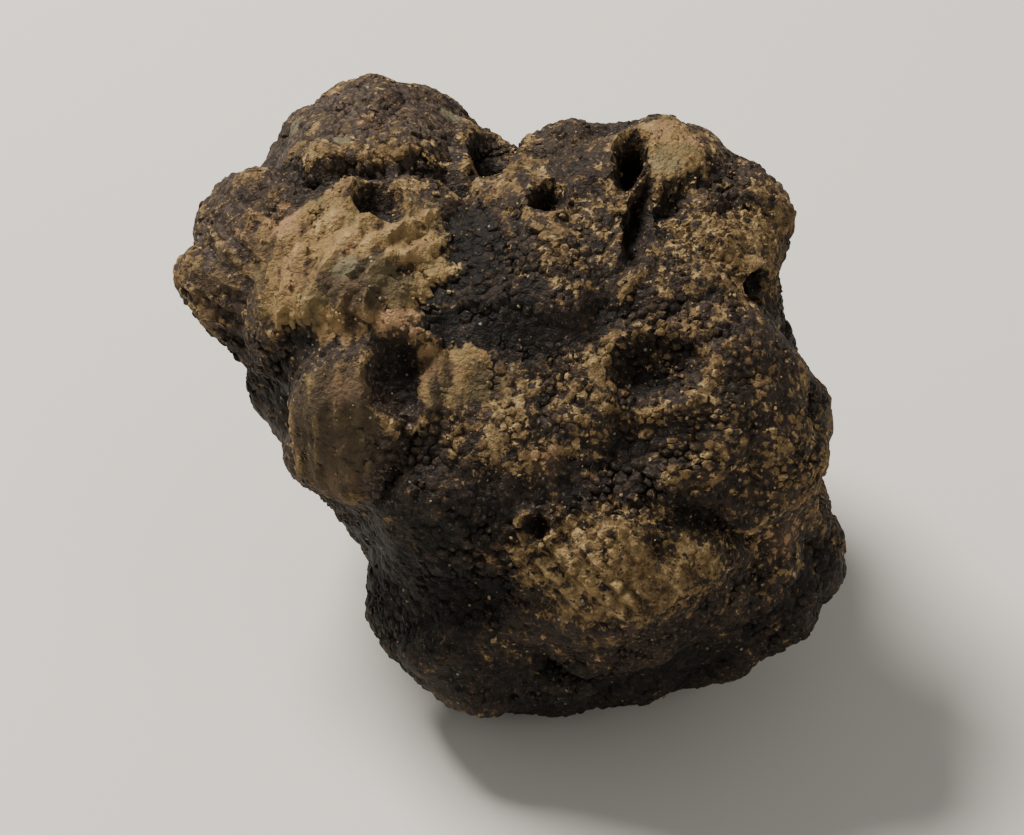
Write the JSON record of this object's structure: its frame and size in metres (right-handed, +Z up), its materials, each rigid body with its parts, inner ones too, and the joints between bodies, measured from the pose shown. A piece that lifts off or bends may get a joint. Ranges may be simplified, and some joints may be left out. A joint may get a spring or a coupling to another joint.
{
  "type": "black truffle",
  "caption": "Whole black truffle, one knobbly warty tuber of merged lobes with furrows and pits, resting on a small flat spot.",
  "frame": {"origin": "on the ground it rests on, under the middle of its width and depth", "axes": "+Z up, +X along its widest way, -Y towards the side with the chin"},
  "size_m": [0.0672, 0.0582, 0.0557],
  "materials": {
    "skin": "matt, dry, warty near-black skin, dusted tan with dry earth on the high parts",
    "soil": "matt crumbs of dry tan earth and sand held in the furrows"
  },
  "bodies": {
    "root": {"truffle": "skin"}
  },
  "joints": []
}
